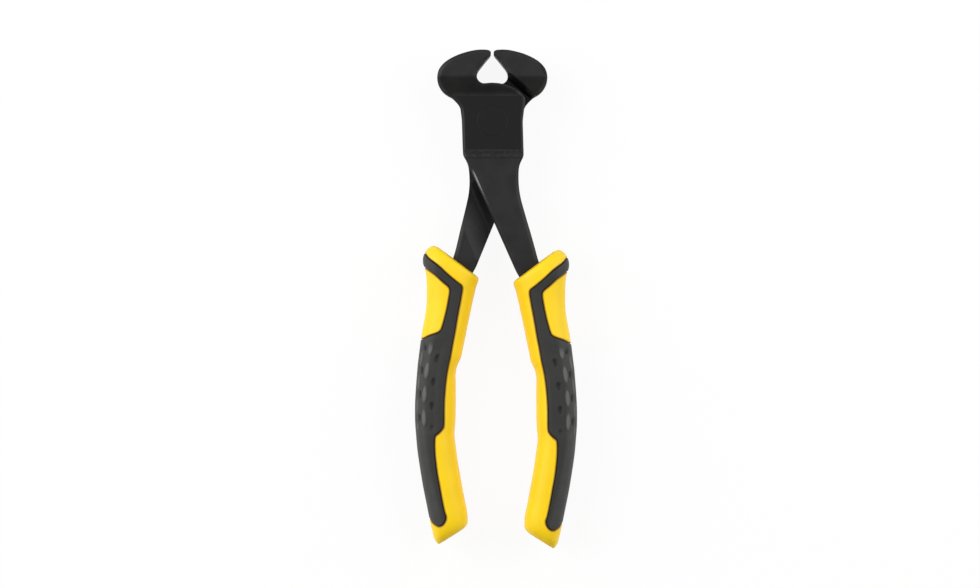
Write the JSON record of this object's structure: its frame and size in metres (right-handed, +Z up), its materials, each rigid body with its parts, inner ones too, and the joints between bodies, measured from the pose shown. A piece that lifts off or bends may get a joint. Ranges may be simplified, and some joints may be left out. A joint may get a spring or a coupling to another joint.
{
  "type": "end cutting nippers",
  "caption": "End cutting nippers: two lap-jointed forged levers on a flush rivet, with wide cutting jaws and two-material sleeve grips.",
  "frame": {"origin": "centre of the tool's outline on the bench plane it lies on, which is the back of the jaws", "axes": "+X right, +Y from the grips towards the jaws, +Z up through the front face; the pivot runs along Z"},
  "size_m": [0.0522, 0.1599, 0.02],
  "materials": {
    "forged_steel": "black oxide over a forged skin, satin",
    "rivet_steel": "black oxide, ground flush",
    "grip_core": "moulded yellow polypropylene, semi-gloss",
    "grip_cover": "moulded dark grey soft elastomer, matt"
  },
  "bodies": {
    "front_half": {"front_lever": "forged_steel", "pivot_rivet": "rivet_steel", "front_grip_core": "grip_core", "front_grip_cover": "grip_cover"},
    "rear_half": {"rear_lever": "forged_steel", "rear_grip_core": "grip_core", "rear_grip_cover": "grip_cover"}
  },
  "joints": [
    {"name": "jaw_pivot", "type": "hinge", "parent": "front_half", "child": "rear_half", "pos_m": [-0.0012, 0.05733, 0.01], "axis": [0, 0, -1], "range_deg": [-1.2, 35]}
  ]
}
